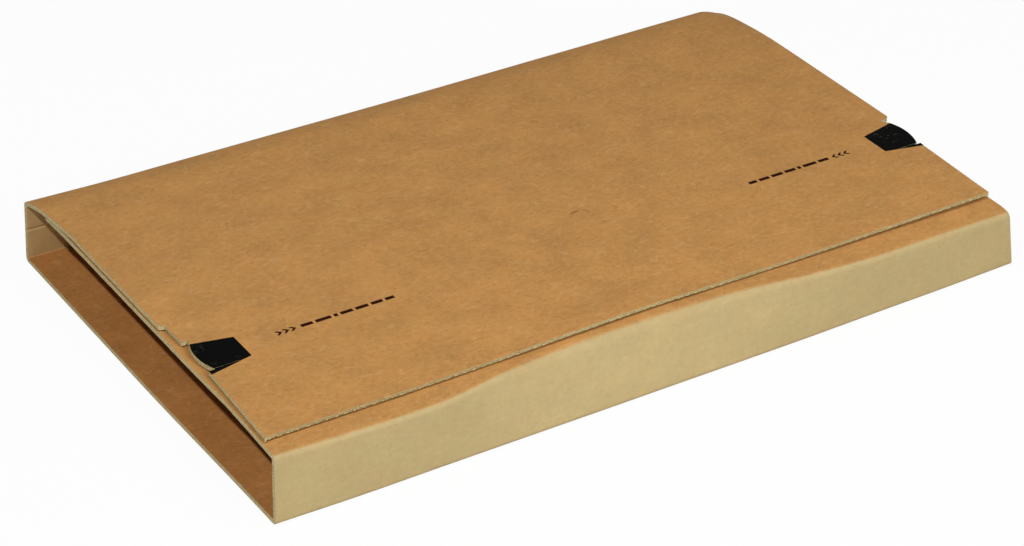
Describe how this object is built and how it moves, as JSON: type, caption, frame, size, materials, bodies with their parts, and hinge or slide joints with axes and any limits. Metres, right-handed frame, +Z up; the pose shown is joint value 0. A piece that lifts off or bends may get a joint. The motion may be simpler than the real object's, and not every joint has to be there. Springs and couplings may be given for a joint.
{
  "type": "tear-strip cardboard mailer",
  "caption": "Flat wrap mailer folded from one sheet of fine-flute corrugated card, with open ends, a stuck-down lid and a tear strip with a black pull tab at each end.",
  "frame": {"origin": "middle of the underside of the bottom panel", "axes": "+X along the sleeve from its left open end to its right open end, -Y towards the front wall and the stuck front edge of the lid, +Z up"},
  "size_m": [0.3, 0.178, 0.0268],
  "materials": {
    "kraft_card": "matte brown kraft liner on fine-flute corrugated card",
    "tear_tape_film": "thin translucent cream plastic tape",
    "adhesive": "dull cream hot-melt adhesive",
    "black_print": "black ink with a slight gloss, lightly scuffed"
  },
  "bodies": {
    "root": {"folded_blank": "kraft_card", "tear_tape": "tear_tape_film", "seal_strip": "adhesive", "left_tab_print": "black_print", "right_tab_print": "black_print"}
  },
  "joints": []
}
